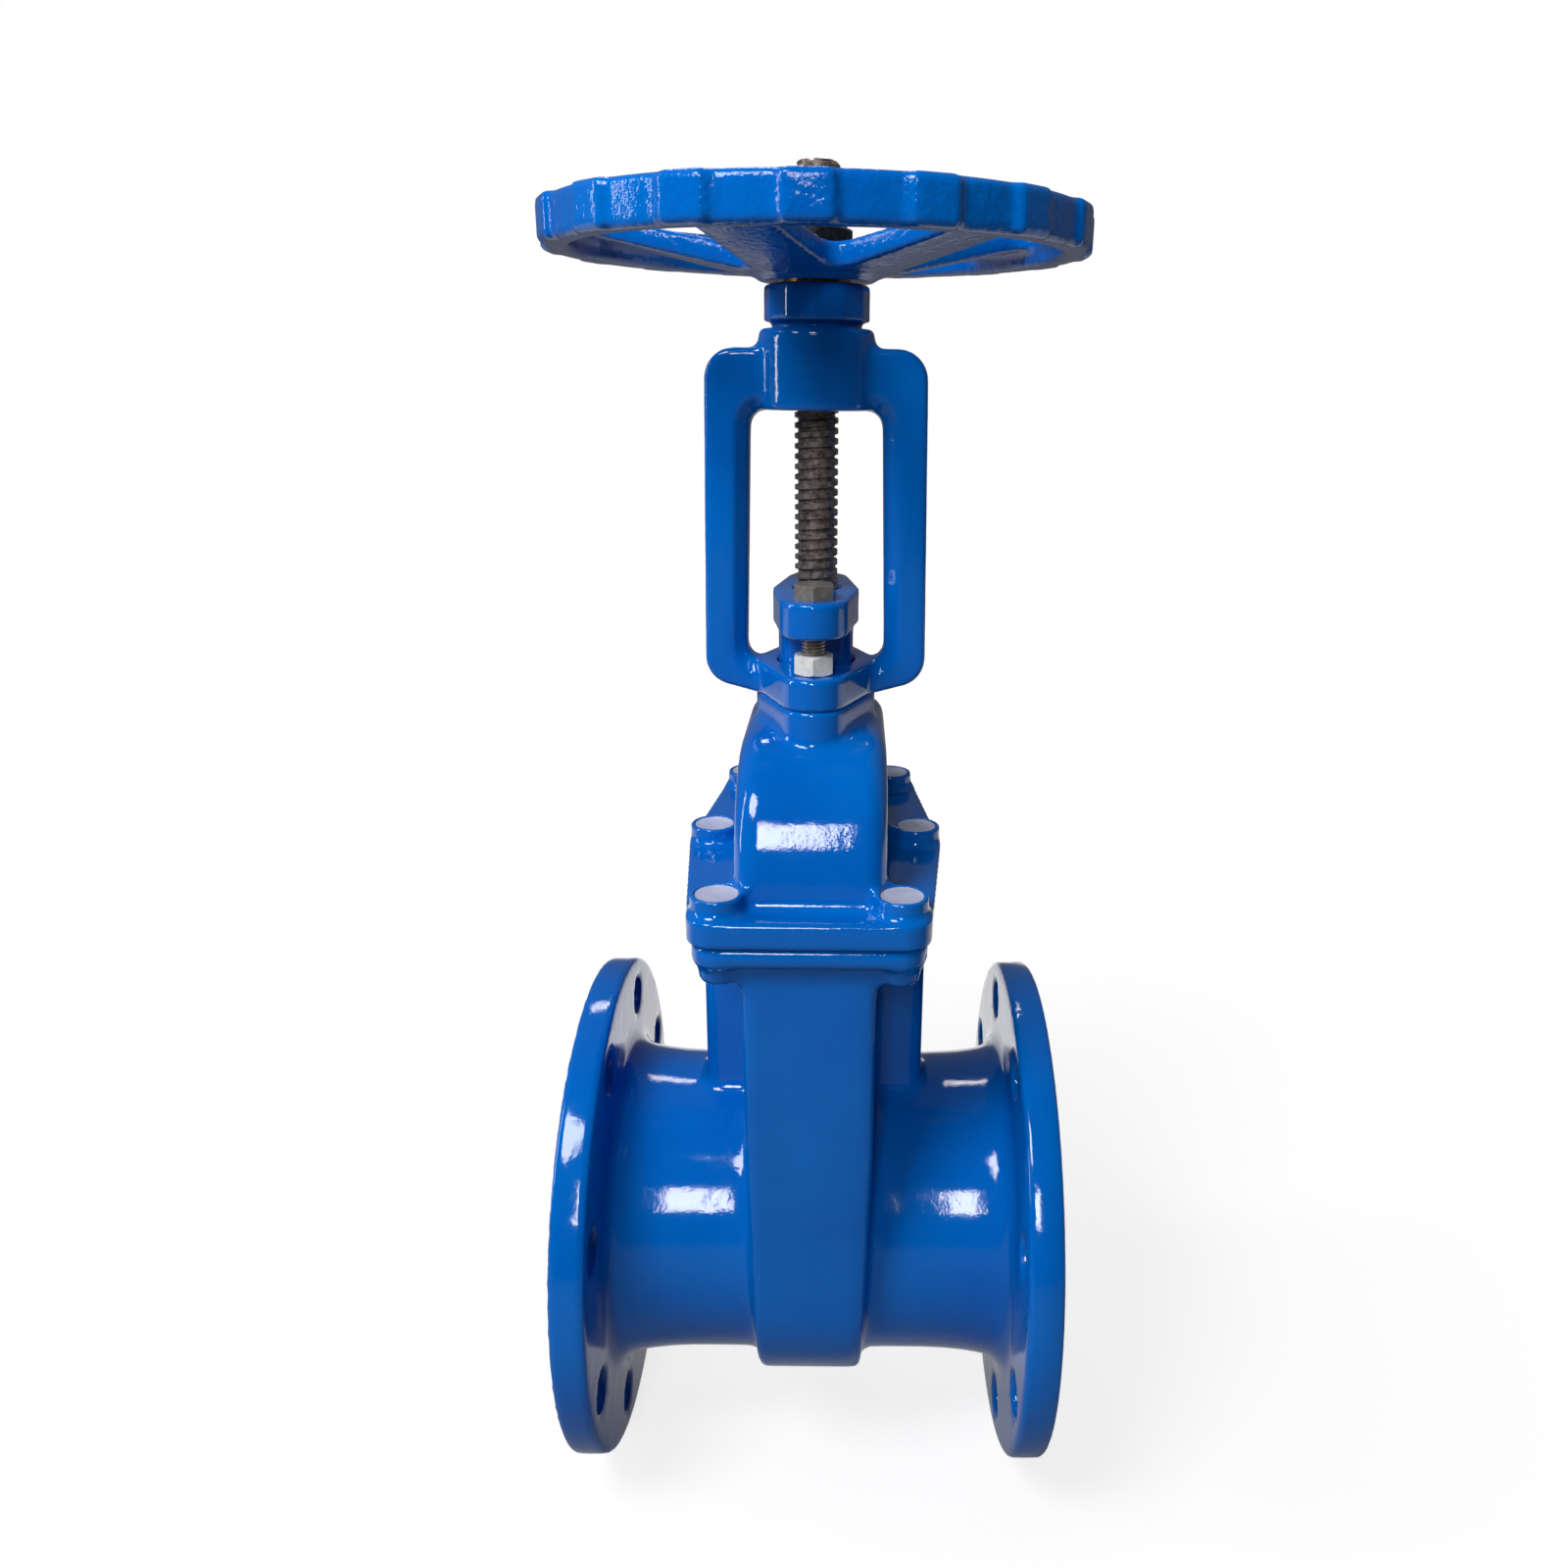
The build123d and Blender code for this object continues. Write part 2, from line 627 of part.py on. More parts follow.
# Rubber-covered wedge: a tapered disc with a hooked boss on top and a lug on each side
with BuildPart() as wedge:
    hook_half_depth = stem_head_radius + slot_gap + wedge_hook_wall
    with BuildSketch(across_plane):
        Circle(wedge_radius)
        with Locations((0, wedge_hook_top / 2)):
            RectangleRounded(2 * hook_half_depth, wedge_hook_top, wedge_hook_radius)
    extrude(amount=neck_half_width, both=True)
    with BuildSketch(along_plane):
        wedge_wide = seat_half_width_at(wedge_hook_top) - seat_gap
        wedge_narrow = seat_half_width_at(-wedge_radius) - seat_gap
        wedge_left = [(-wedge_wide, wedge_hook_top), (-wedge_narrow, -wedge_radius)]
        wedge_right = [(wedge_narrow, -wedge_radius), (wedge_wide, wedge_hook_top)]
        Polygon(*wedge_left, *wedge_right, align=None)
    extrude(amount=chest_half_depth, both=True, mode=Mode.INTERSECT)
    with BuildSketch(across_plane):
        with Locations((0, lug_height / 2 - lug_drop)):
            Rectangle(2 * (wedge_radius + lug_depth), lug_height)
    extrude(amount=lug_half_width, both=True)
    for side in (-1, 1):
        face_place = (stem_x + side * (seat_half_width - seat_gap), 0, 0)
        face_plane = Plane(origin=face_place, x_dir=(0, 1, 0), z_dir=(side, 0, -seat_slope))
        with BuildSketch(face_plane):
            Circle(wedge_radius - wedge_seat_width)
        extrude(amount=-wedge_dish_depth, mode=Mode.SUBTRACT)
    slot_height = stem_head_height + 2 * slot_gap
    with BuildSketch(across_plane):
        with Locations((0, slot_floor_height - slot_gap + slot_height / 2)):
            Rectangle(2 * (stem_head_radius + slot_gap), slot_height)
        with Locations((0, (slot_floor_height + wedge_hook_top) / 2)):
            Rectangle(stem_diameter + 2 * slot_gap, wedge_hook_top - slot_floor_height)
    extrude(amount=neck_half_width, both=True, mode=Mode.SUBTRACT)
finish(wedge.part, "wedge")

# Plastic shoes that cap the lugs and run in the guides of the body
for place, side in {"front": -1, "rear": 1}.items():
    shoe_end = chamber_half_depth - shoe_gap
    shoe_root = wedge_radius
    shoe_half_width = guide_width / 2 - shoe_gap
    with BuildPart() as guide_shoe:
        with BuildSketch(level_plane.offset(-lug_drop)):
            with Locations((0, side * (shoe_root + shoe_end) / 2)):
                Rectangle(2 * shoe_half_width, shoe_end - shoe_root)
            with Locations((0, side * (shoe_root + lug_depth / 2))):
                Rectangle(2 * lug_half_width, lug_depth, mode=Mode.SUBTRACT)
        extrude(amount=lug_height)
    finish(guide_shoe.part, "guide_shoe_" + place)

# Ring screwed into the yoke that holds the stem nut down
with BuildPart() as nut_retainer:
    with BuildSketch(level_plane.offset(nut_collar_top + face_gap)):
        Circle(nut_counterbore_radius - thread_gap)
    extrude(amount=ring_bottom - nut_collar_top - face_gap)
    with BuildSketch(level_plane.offset(ring_bottom)):
        RegularPolygon(ring_radius, ring_side_count)
    extrude(amount=ring_top - ring_bottom)
    chamfer(nut_retainer.edges().group_by(Axis.Z)[-1], ring_edge_chamfer)
    with BuildSketch(level_plane.offset(nut_collar_top + face_gap)):
        Circle(nut_neck_radius + ring_bore_gap)
    extrude(amount=ring_top - nut_collar_top - face_gap, mode=Mode.SUBTRACT)
finish(nut_retainer.part, "nut_retainer")

# Stem nut: journal, collar, neck and the spindle with two flats that drives with the wheel
with BuildPart() as stem_nut:
    for radius, low_end, high_end in (
        (nut_journal_radius, yoke_window_top, nut_collar_top),
        (nut_collar_radius, nut_collar_bottom, nut_collar_top),
        (nut_neck_radius, nut_collar_top, wheel_hub_bottom),
    ):
        with BuildSketch(level_plane.offset(low_end)):
            Circle(radius)
        extrude(amount=high_end - low_end)
    with BuildSketch(level_plane.offset(wheel_hub_bottom)):
        Circle(nut_spindle_radius)
        Rectangle(2 * nut_spindle_radius, 2 * nut_flat_half_width, mode=Mode.INTERSECT)
    extrude(amount=nut_top - wheel_hub_bottom)
    with BuildSketch(level_plane.offset(yoke_window_top)):
        Circle(nut_bore_radius)
    extrude(amount=nut_top - yoke_window_top, mode=Mode.SUBTRACT)
finish(stem_nut.part, "stem_nut")

# One lobe of the handwheel's rim, rooted in the middle of the rim
with BuildPart() as rim_lobe:
    lobe_depth = wheel_rim_width / 2 + lobe_rise
    with BuildSketch(level_plane.offset(wheel_rim_bottom)):
        with Locations((wheel_rim_radius + lobe_rise - lobe_depth / 2, 0)):
            RectangleRounded(lobe_depth, lobe_width, lobe_rise * lobe_round_share)
    extrude(amount=wheel_rim_height)
    chamfer(rim_lobe.faces().filter_by(Axis.Z).edges(), wheel_rim_chamfer)

# Handwheel: a turned rim with lobes, and a dished web on a hub with windows between wide spokes
with BuildPart() as handwheel:
    with BuildSketch(along_plane):
        with Locations((wheel_rim_radius - wheel_rim_width / 2, wheel_rim_bottom + wheel_rim_height / 2)):
            rim_section = Rectangle(wheel_rim_width, wheel_rim_height)
        chamfer(rim_section.vertices(), wheel_rim_chamfer)
    revolve(axis=stem_axis)
    for lobe in range(lobe_count):
        add(rim_lobe.part.rotate(stem_axis, lobe * 360 / lobe_count - 90))
    web_root = washer_radius
    web_end = wheel_rim_radius - wheel_rim_width / 2
    web_end_bottom = wheel_rim_bottom + spoke_rim_inset
    web_end_top = web_end_bottom + spoke_rim_height
    with BuildSketch(along_plane):
        with Locations((wheel_hub_radius / 2, wheel_hub_bottom + wheel_hub_height / 2)):
            Rectangle(wheel_hub_radius, wheel_hub_height)
        web_inside = [(web_root, wheel_hub_top), (web_root, wheel_hub_bottom)]
        web_outside = [(web_end, web_end_bottom), (web_end, web_end_top)]
        Polygon(*web_inside, *web_outside, align=None)
    revolve(axis=stem_axis)
    with BuildSketch(level_plane.offset(wheel_hub_bottom)) as windows:
        Circle(wheel_rim_radius - wheel_rim_width - window_margin)
        Circle(wheel_hub_radius, mode=Mode.SUBTRACT)
        with PolarLocations(0, spoke_count, start_angle=first_spoke_angle):
            spoke_root_side = [(0, spoke_hub_width / 2), (0, -spoke_hub_width / 2)]
            spoke_rim_side = [(web_end, -spoke_rim_width / 2), (web_end, spoke_rim_width / 2)]
            Polygon(*spoke_root_side, *spoke_rim_side, align=None, mode=Mode.SUBTRACT)
        fillet(windows.vertices(), window_corner_radius)
    extrude(amount=wheel_dish + wheel_rim_height, mode=Mode.SUBTRACT)
    with BuildSketch(level_plane.offset(wheel_hub_bottom)):
        Circle(nut_spindle_radius + thread_gap)
        Rectangle(2 * wheel_hub_radius, 2 * (nut_flat_half_width + thread_gap), mode=Mode.INTERSECT)
    extrude(amount=wheel_hub_height, mode=Mode.SUBTRACT)
finish(handwheel.part, "handwheel")

# Washer and hexagon nut that lock the wheel on the spindle
with BuildPart() as wheel_washer:
    with BuildSketch(level_plane.offset(wheel_hub_top)):
        Circle(washer_radius)
        Circle(nut_spindle_radius + thread_gap, mode=Mode.SUBTRACT)
    extrude(amount=washer_thickness)
finish(wheel_washer.part, "wheel_washer")

with BuildPart() as wheel_lock_nut:
    with BuildSketch(level_plane.offset(washer_top)):
        RegularPolygon(nut_spindle_radius + lock_nut_wall, 6, major_radius=False)
        Circle(nut_spindle_radius + thread_gap, mode=Mode.SUBTRACT)
    extrude(amount=lock_nut_height)
finish(wheel_lock_nut.part, "wheel_lock_nut")
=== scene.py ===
"""Looks of the rising-stem resilient wedge gate valve: cast forms, threads, finishes, light and camera."""
import json
from math import cos, pi, radians, sin, tan

import bmesh
import bpy
import numpy as np
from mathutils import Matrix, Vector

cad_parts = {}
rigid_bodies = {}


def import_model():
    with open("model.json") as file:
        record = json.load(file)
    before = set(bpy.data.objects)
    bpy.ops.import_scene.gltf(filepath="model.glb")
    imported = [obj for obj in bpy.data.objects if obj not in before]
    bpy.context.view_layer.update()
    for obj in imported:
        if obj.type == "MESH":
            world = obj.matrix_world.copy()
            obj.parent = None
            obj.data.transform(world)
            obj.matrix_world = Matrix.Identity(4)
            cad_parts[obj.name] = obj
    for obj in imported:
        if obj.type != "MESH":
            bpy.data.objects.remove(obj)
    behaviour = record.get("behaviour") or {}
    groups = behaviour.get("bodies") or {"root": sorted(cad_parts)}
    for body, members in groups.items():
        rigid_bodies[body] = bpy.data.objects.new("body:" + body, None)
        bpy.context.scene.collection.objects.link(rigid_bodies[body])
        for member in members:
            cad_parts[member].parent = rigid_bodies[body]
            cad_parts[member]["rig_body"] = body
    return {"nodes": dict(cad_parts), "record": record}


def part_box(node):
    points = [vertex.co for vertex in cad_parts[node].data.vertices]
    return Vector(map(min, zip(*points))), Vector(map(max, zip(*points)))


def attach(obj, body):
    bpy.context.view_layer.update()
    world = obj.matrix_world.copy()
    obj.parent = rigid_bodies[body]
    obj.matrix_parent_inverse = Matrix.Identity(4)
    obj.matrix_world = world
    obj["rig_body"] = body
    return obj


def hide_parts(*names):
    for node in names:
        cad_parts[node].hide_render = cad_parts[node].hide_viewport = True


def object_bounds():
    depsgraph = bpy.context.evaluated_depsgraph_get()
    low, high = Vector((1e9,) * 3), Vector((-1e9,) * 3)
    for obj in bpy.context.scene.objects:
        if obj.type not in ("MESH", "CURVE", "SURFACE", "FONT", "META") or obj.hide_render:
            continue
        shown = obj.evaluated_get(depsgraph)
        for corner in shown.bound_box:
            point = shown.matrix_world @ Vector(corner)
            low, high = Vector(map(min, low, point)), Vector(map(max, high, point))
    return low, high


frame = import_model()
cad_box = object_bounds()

import openvdb
from mathutils import Quaternion, Vector

MILLIMETRE = 0.001

# Camera: place beside the stem axis, direction and picture, as the photo was taken
CAMERA_BESIDE_STEM = Vector((0.0177, -0.6351, 0.4745))
CAMERA_PITCH = radians(18.19)
CAMERA_YAW = radians(0.213)
CAMERA_ROLL = radians(-0.73)
CAMERA_SENSOR = 36.0
CAMERA_LENS = 27.93
CAMERA_SHIFT_X = -0.0434

# Places read from the frame
stem_low, stem_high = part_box("stem")
stem_axis = (stem_low + stem_high) / 2
gland_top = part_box("gland")[1].z
floor_height = cad_box[0].z

# Cast forms: piece, then in millimetres the voxel, the fillet in inner corners and the round on edges
CASTINGS = {
    "valve_body": ("body_casting", 1.4, 4.5, 1.6),
    "bonnet": ("bonnet_casting", 0.8, 3.5, 0.8),
    "yoke": ("yoke_casting", 0.9, 3.5, 1.2),
    "gland": ("gland_casting", 0.7, 2.0, 1.0),
    "nut_retainer": ("ring_casting", 0.6, 1.0, 0.9),
    "handwheel": ("wheel_casting", 0.9, 3.5, 1.9),
    "wedge": ("wedge_moulding", 1.0, 2.5, 1.5),
}
FLATNESS = 0.03
VOXEL_MARGIN = 4

# Inside of the body, kept as machined: bore, tapered chamber and end faces
BORE_REACH = 81 * MILLIMETRE
CHAMBER_HALF_WIDTH = 23.6 * MILLIMETRE
CHAMBER_TAPER = 0.0342
CHAMBER_WIDEST = 29.5 * MILLIMETRE
CHAMBER_HALF_DEPTH = 99.5 * MILLIMETRE
END_FACE_DEPTH = 1 * MILLIMETRE

# Trapezoidal thread, in shares of its pitch: ends of the crest, of the flank and of the root
CREST_END_SHARE = 0.46
ROOT_START_SHARE = 0.58
ROOT_END_SHARE = 0.88

# Stem, its thread and its hooked head
STEM_RADIUS = 11 * MILLIMETRE
STEM_ROOT_RADIUS = 9.3 * MILLIMETRE
STEM_PITCH = 5 * MILLIMETRE
STEM_TOP_CHAMFER = 2 * MILLIMETRE
STEM_THREAD_STAND = 2 * MILLIMETRE
STEM_HEAD_HEIGHT = 10 * MILLIMETRE
STEM_HEAD_ROUND = 1 * MILLIMETRE

# Gland bolts
BOLT_RADIUS = 6 * MILLIMETRE
BOLT_ROOT_RADIUS = 5.05 * MILLIMETRE
BOLT_PITCH = 1.75 * MILLIMETRE
BOLT_HEAD_HEIGHT = 7.5 * MILLIMETRE
BOLT_HEAD_WIDTH = 19 * MILLIMETRE
BOLT_NUT_HEIGHT = 10 * MILLIMETRE
YOKE_BASE_THICKNESS = 16.5 * MILLIMETRE

# Lock nut, washer and wax plugs
LOCK_NUT_WIDTH = 34 * MILLIMETRE
HEXAGON_CHAMFER = radians(30)
HEXAGON_FACE_SHARE = 0.95
SPINDLE_RADIUS = 14.55 * MILLIMETRE
WASHER_ROUND = 0.5 * MILLIMETRE
PLUG_DISH = 0.7 * MILLIMETRE
PLUG_RING_SHARES = (0, 0.25, 0.5, 0.7, 0.85, 0.95, 1)
PLUG_DISH_POWER = 4

# Meshing of turned pieces
TURNED_SEGMENTS = 72
BOLT_SEGMENTS = 36
PLUG_SEGMENTS = 48
MERGE_DISTANCE = 1e-6
FLAT_EDGE = 1e-7
SHARP_ANGLE = radians(28)

# Finishes: noise scales and, in metres, the depth of their bumps
PAINT_PATCH_SCALE = 14
PAINT_GLOSS_SCALE = 90
PAINT_WAVE_SCALE, PAINT_WAVE_DEPTH = 60, 0.0002
PAINT_PIT_SCALE = 230
PAINT_PEEL_SCALE, PAINT_PEEL_DEPTH = 700, 0.00004
STEEL_SCALE = 300
STEEL_GLOSS_SCALE = 510
STEEL_GRAIN_SCALE, STEEL_GRAIN_DEPTH = 750, 0.00008
MOULDED_PATCH_SCALE = 120
MOULDED_GLOSS_SCALE = 260
MOULDED_GRAIN_SCALE, MOULDED_GRAIN_DEPTH = 900, 0.00008

# Studio: lamps as azimuth from the camera side and elevation in degrees, then distance, width and
# height in metres and radiance
LAMPS = {
    "front_box": (-4.8, 29.5, 6.0, 0.78, 1.75, 26),
    "upper_key": (-38.0, 52.0, 1.5, 0.5, 0.5, 20),
    "left_strip": (-86.0, 20.0, 6.0, 0.5, 4.0, 15),
    "back_strip": (-169.0, 47.0, 6.0, 1.9, 0.45, 14),
}
LAMP_AIM_FORWARD = 0.07
LAMP_AIM_HEIGHT = 0.15

# Room: fill light, and what mirrors see, dim on the camera's side and pale behind the object
FILL_STRENGTH = 0.03
ROOM_DIM = 0.02
ROOM_PALE = 0.14
ROOM_DIM_END = 0.42
ROOM_PALE_START = 0.62

# Floor: grey to light, lifted to white for the camera and fading to plain white with distance;
# in mirrors it is white only where it lies behind the object, by distance from the stem
FLOOR_GREY = 0.28
FLOOR_LIFT = 0.8
FLOOR_FADE_START = 0.3
FLOOR_FADE_END = 1.2
FLOOR_MIRRORED = ((-0.1, 0.0), (0.25, 1.0), (0.9, 1.0), (1.6, 0.1))
FLOOR_HALF_SIZE = 4.0


def piece_from(name, points, faces, node, slot):
    """Link a new mesh piece; with a node, it stands for that node and rides on its body."""
    mesh = bpy.data.meshes.new(name)
    mesh.from_pydata(points, [], faces)
    mesh.shade_smooth()
    piece = bpy.data.objects.new(name, mesh)
    bpy.context.scene.collection.objects.link(piece)
    if node is not None:
        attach(piece, frame["nodes"][node]["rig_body"])
        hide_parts(node)
    return piece


# Castings


def node_triangles(node):
    """Points and triangles of a node as arrays."""
    mesh = frame["nodes"][node].data
    points = np.zeros(len(mesh.vertices) * 3, np.float32)
    mesh.vertices.foreach_get("co", points)
    mesh.calc_loop_triangles()
    triangles = np.zeros(len(mesh.loop_triangles) * 3, np.int32)
    mesh.loop_triangles.foreach_get("vertices", triangles)
    return points.reshape(-1, 3), triangles.reshape(-1, 3).astype(np.uint32)


def level_set(points, triangles, quads, voxel, reach):
    """Distance grid round a closed surface, good to the reach on either side."""
    return openvdb.FloatGrid.createLevelSetFromPolygons(
        points,
        triangles=triangles,
        quads=quads,
        transform=openvdb.createLinearTransform(voxelSize=voxel),
        halfWidth=reach / voxel + 3,
    )


def moved_surface(grid, distance, voxel, reach):
    """Distance grid of the surface that lies the distance outside that of the grid."""
    points, triangles, quads = grid.convertToPolygons(isovalue=distance, adaptivity=0)
    return level_set(points, triangles, quads, voxel, reach)


def dense(grid, low, shape):
    """Values of a grid in one block of voxels."""
    values = np.zeros(shape, np.float32)
    grid.copyToArray(values, ijk=tuple(int(i) for i in low))
    return values


def sample(values, low, voxel, points):
    """Values of a block at points in space, read between its voxels."""
    place = points / voxel - low
    corner = np.clip(np.floor(place).astype(int), 0, np.array(values.shape) - 2)
    part = (place - corner).astype(np.float32)
    total = np.zeros(len(points), np.float32)
    for offset in np.ndindex(2, 2, 2):
        weight = np.prod(np.where(offset, part, 1 - part), axis=1)
        index = corner + offset
        total += weight * values[index[:, 0], index[:, 1], index[:, 2]]
    return total


def body_inside(x, y, z):
    """True in the bore and the wedge chamber of the body, and in its outer end faces."""
    beside = x - stem_axis.x
    bore = np.hypot(y, z) < BORE_REACH
    half_width = np.minimum(CHAMBER_HALF_WIDTH + CHAMBER_TAPER * z, CHAMBER_WIDEST)
    chamber = (np.abs(beside) < half_width) & (np.abs(y) < CHAMBER_HALF_DEPTH)
    ends = np.abs(beside) > stem_axis.x - END_FACE_DEPTH
    return bore | chamber | ends


def cast_form(node, name, voxel, fillet, edge, plain=None):
    """A node's form as it is cast: inner corners filled with fillets and edges rounded."""
    points, triangles = node_triangles(node)
    reach = fillet + edge
    no_quads = np.zeros((0, 4), np.uint32)
    machined = level_set(points, triangles, no_quads, voxel, reach)
    grown = moved_surface(machined, fillet, voxel, reach)
    closed = moved_surface(grown, -fillet, voxel, reach)
    low = np.floor(points.min(0) / voxel).astype(int) - VOXEL_MARGIN
    high = np.ceil(points.max(0) / voxel).astype(int) + VOXEL_MARGIN
    shape = tuple(high - low)
    if plain is not None:
        x, y, z = np.ogrid[low[0]:high[0], low[1]:high[1], low[2]:high[2]]
        kept = plain(x * voxel, y * voxel, z * voxel)
        mixed = np.where(kept, dense(machined, low, shape), dense(closed, low, shape))
        closed.copyFromArray(mixed.astype(np.float32), ijk=tuple(int(i) for i in low))
    shrunk = moved_surface(closed, -edge, voxel, reach)
    final = moved_surface(shrunk, edge, voxel, reach)
    points, triangles, quads = final.convertToPolygons(isovalue=0, adaptivity=FLATNESS)
    faces = [face[::-1] for face in triangles.tolist() + quads.tolist()]
    piece = piece_from(name, points.tolist(), faces, node, "blue_paint")
    read_normals(piece, dense(final, low, shape), low, voxel)
    return piece


def read_normals(piece, values, low, voxel):
    """Take the piece's shading normals from the slope of its distance grid."""
    mesh = piece.data
    points = np.zeros(len(mesh.vertices) * 3, np.float32)
    mesh.vertices.foreach_get("co", points)
    points = points.reshape(-1, 3)
    slope = np.zeros_like(points)
    for axis in range(3):
        step = np.zeros(3, np.float32)
        step[axis] = voxel
        ahead = sample(values, low, voxel, points + step)
        slope[:, axis] = ahead - sample(values, low, voxel, points - step)
    slope /= np.maximum(np.linalg.norm(slope, axis=1, keepdims=True), 1e-9)
    mesh.shade_smooth()
    mesh.normals_split_custom_set_from_vertices(slope.tolist())


# Turned, threaded and hexagon pieces


def turned(profile, centre, segments=TURNED_SEGMENTS):
    """Points and faces of a closed profile of (radius, height) pairs turned about an upright axis."""
    points = []
    faces = []
    count = len(profile)
    for step in range(segments):
        angle = 2 * pi * step / segments
        for radius, height in profile:
            points.append((centre.x + radius * cos(angle), centre.y + radius * sin(angle), height))
        after = (step + 1) % segments
        for row in range(count):
            up = (row + 1) % count
            faces.append((step * count + row, after * count + row, after * count + up, step * count + up))
    return points, faces


def thread_radius(share, crest, root):
    """Radius of a trapezoidal thread at a share of its pitch."""
    corners = (0, CREST_END_SHARE, ROOT_START_SHARE, ROOT_END_SHARE, 1)
    return np.interp(share % 1.0, corners, (crest, crest, root, root, crest))


def threaded_rod(centre, low, high, crest, root, pitch, chamfer, segments=TURNED_SEGMENTS):
    """Points and faces of a rod with a thread; its rows follow the helix and close on the axis."""
    corners = np.array((0, CREST_END_SHARE, ROOT_START_SHARE, ROOT_END_SHARE, 1))
    shares = np.stack((corners[:-1], (corners[:-1] + corners[1:]) / 2), axis=1).ravel()
    turns = np.arange(int((high - low) / pitch) + 4) - 2
    rows = (turns[:, None] + shares).ravel() * pitch + low
    angles = 2 * pi * np.arange(segments + 1) / segments
    height = rows[:, None] + pitch * angles / (2 * pi)
    inside = np.clip(height, low, high)
    radius = thread_radius((inside - low - pitch * angles / (2 * pi)) / pitch, crest, root)
    radius = np.minimum(radius, crest - np.maximum(inside - (high - chamfer), 0))
    radius = radius * (1 - np.clip(np.abs(height - inside) / pitch, 0, 1))
    x = centre.x + radius * np.cos(angles)
    y = centre.y + radius * np.sin(angles)
    points = np.stack((x, y, inside), axis=2).reshape(-1, 3)
    width = segments + 1
    faces = []
    for row in range(len(rows) - 1):
        for step in range(segments):
            corner = row * width + step
            faces.append((corner, corner + 1, corner + 1 + width, corner + width))
    return points.tolist(), faces


def hexagon(centre, width, low, high, hole, chamfer_below):
    """Points and faces of a hexagon head or nut with chamfered corners and a round hole."""
    steps = TURNED_SEGMENTS
    face_radius = width / 2 * HEXAGON_FACE_SHARE
    points = []
    for step in range(steps):
        angle = 2 * pi * step / steps
        corner = width / 2 / cos((angle + pi / 6) % (pi / 3) - pi / 6)
        drop = (corner - face_radius) * tan(HEXAGON_CHAMFER)
        foot = low + drop if chamfer_below else low
        foot_radius = face_radius if chamfer_below else corner
        rings = ((hole, high), (face_radius, high), (corner, high - drop), (corner, foot), (foot_radius, low))
        for radius, height in rings + ((hole, low),):
            points.append((centre.x + radius * cos(angle), centre.y + radius * sin(angle), height))
    count = 6
    faces = []
    for step in range(steps):
        after = (step + 1) % steps
        for row in range(count):
            up = (row + 1) % count
            faces.append((step * count + row, step * count + up, after * count + up, after * count + row))
    return points, faces


def joined(*forms):
    """Points and faces of several forms as one."""
    points = []
    faces = []
    for form_points, form_faces in forms:
        start = len(points)
        points += list(form_points)
        faces += [tuple(start + index for index in face) for face in form_faces]
    return points, faces


def clean(piece):
    """Merge points that lie together and set all faces outwards."""
    form = bmesh.new()
    form.from_mesh(piece.data)
    bmesh.ops.remove_doubles(form, verts=form.verts, dist=MERGE_DISTANCE)
    bmesh.ops.dissolve_degenerate(form, edges=form.edges, dist=FLAT_EDGE)
    bmesh.ops.recalc_face_normals(form, faces=form.faces)
    form.to_mesh(piece.data)
    form.free()
    piece.data.shade_smooth()
    piece.data.set_sharp_from_angle(angle=SHARP_ANGLE)
    return piece


def make_stem():
    """Stem with its hooked head, plain shaft and trapezoidal thread."""
    thread_low = gland_top + STEM_THREAD_STAND
    head = stem_high.x - stem_axis.x
    low = stem_low.z
    neck = low + STEM_HEAD_HEIGHT
    edge = STEM_HEAD_ROUND
    shaft = turned(
        (
            (0, low),
            (head - edge, low),
            (head, low + edge),
            (head, neck - edge),
            (head - edge, neck),
            (STEM_RADIUS, neck),
            (STEM_RADIUS, thread_low - STEM_THREAD_STAND),
            (STEM_ROOT_RADIUS, thread_low),
            (0, thread_low),
        ),
        stem_axis,
    )
    thread = threaded_rod(
        stem_axis, thread_low, stem_high.z, STEM_RADIUS, STEM_ROOT_RADIUS, STEM_PITCH, STEM_TOP_CHAMFER
    )
    return clean(piece_from("stem_threaded", *joined(shaft, thread), "stem", "stem_steel"))


def make_gland_bolt(place):
    """Hexagon bolt with a chamfered head and a threaded shank."""
    node = "gland_bolt_" + place
    low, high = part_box(node)
    centre = (low + high) / 2
    seat = high.z - BOLT_HEAD_HEIGHT
    head = hexagon(centre, BOLT_HEAD_WIDTH, seat, high.z, 0, False)
    shank = threaded_rod(centre, low.z, seat, BOLT_RADIUS, BOLT_ROOT_RADIUS, BOLT_PITCH, 0, BOLT_SEGMENTS)
    return clean(piece_from("gland_screw_" + place, *joined(head, shank), node, "bolt_steel"))


def make_gland_nut(place):
    """Bright zinc nut on a gland bolt, down on the base of the yoke; its near-white colour is partly a
    painted highlight.
    """
    low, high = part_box("gland_bolt_" + place)
    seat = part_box("bonnet")[1].z + YOKE_BASE_THICKNESS
    form = hexagon((low + high) / 2, BOLT_HEAD_WIDTH, seat, seat + BOLT_NUT_HEIGHT, BOLT_RADIUS, True)
    nut = piece_from("gland_nut_" + place, *form, None, "bolt_steel")
    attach(nut, frame["nodes"]["yoke"]["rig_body"])
    return clean(nut)


def make_lock_nut():
    """Hexagon nut over the wheel, chamfered on both sides."""
    low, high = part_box("wheel_lock_nut")
    form = hexagon(stem_axis, LOCK_NUT_WIDTH, low.z, high.z, SPINDLE_RADIUS, True)
    return clean(piece_from("lock_nut_chamfered", *form, "wheel_lock_nut", "black_steel"))


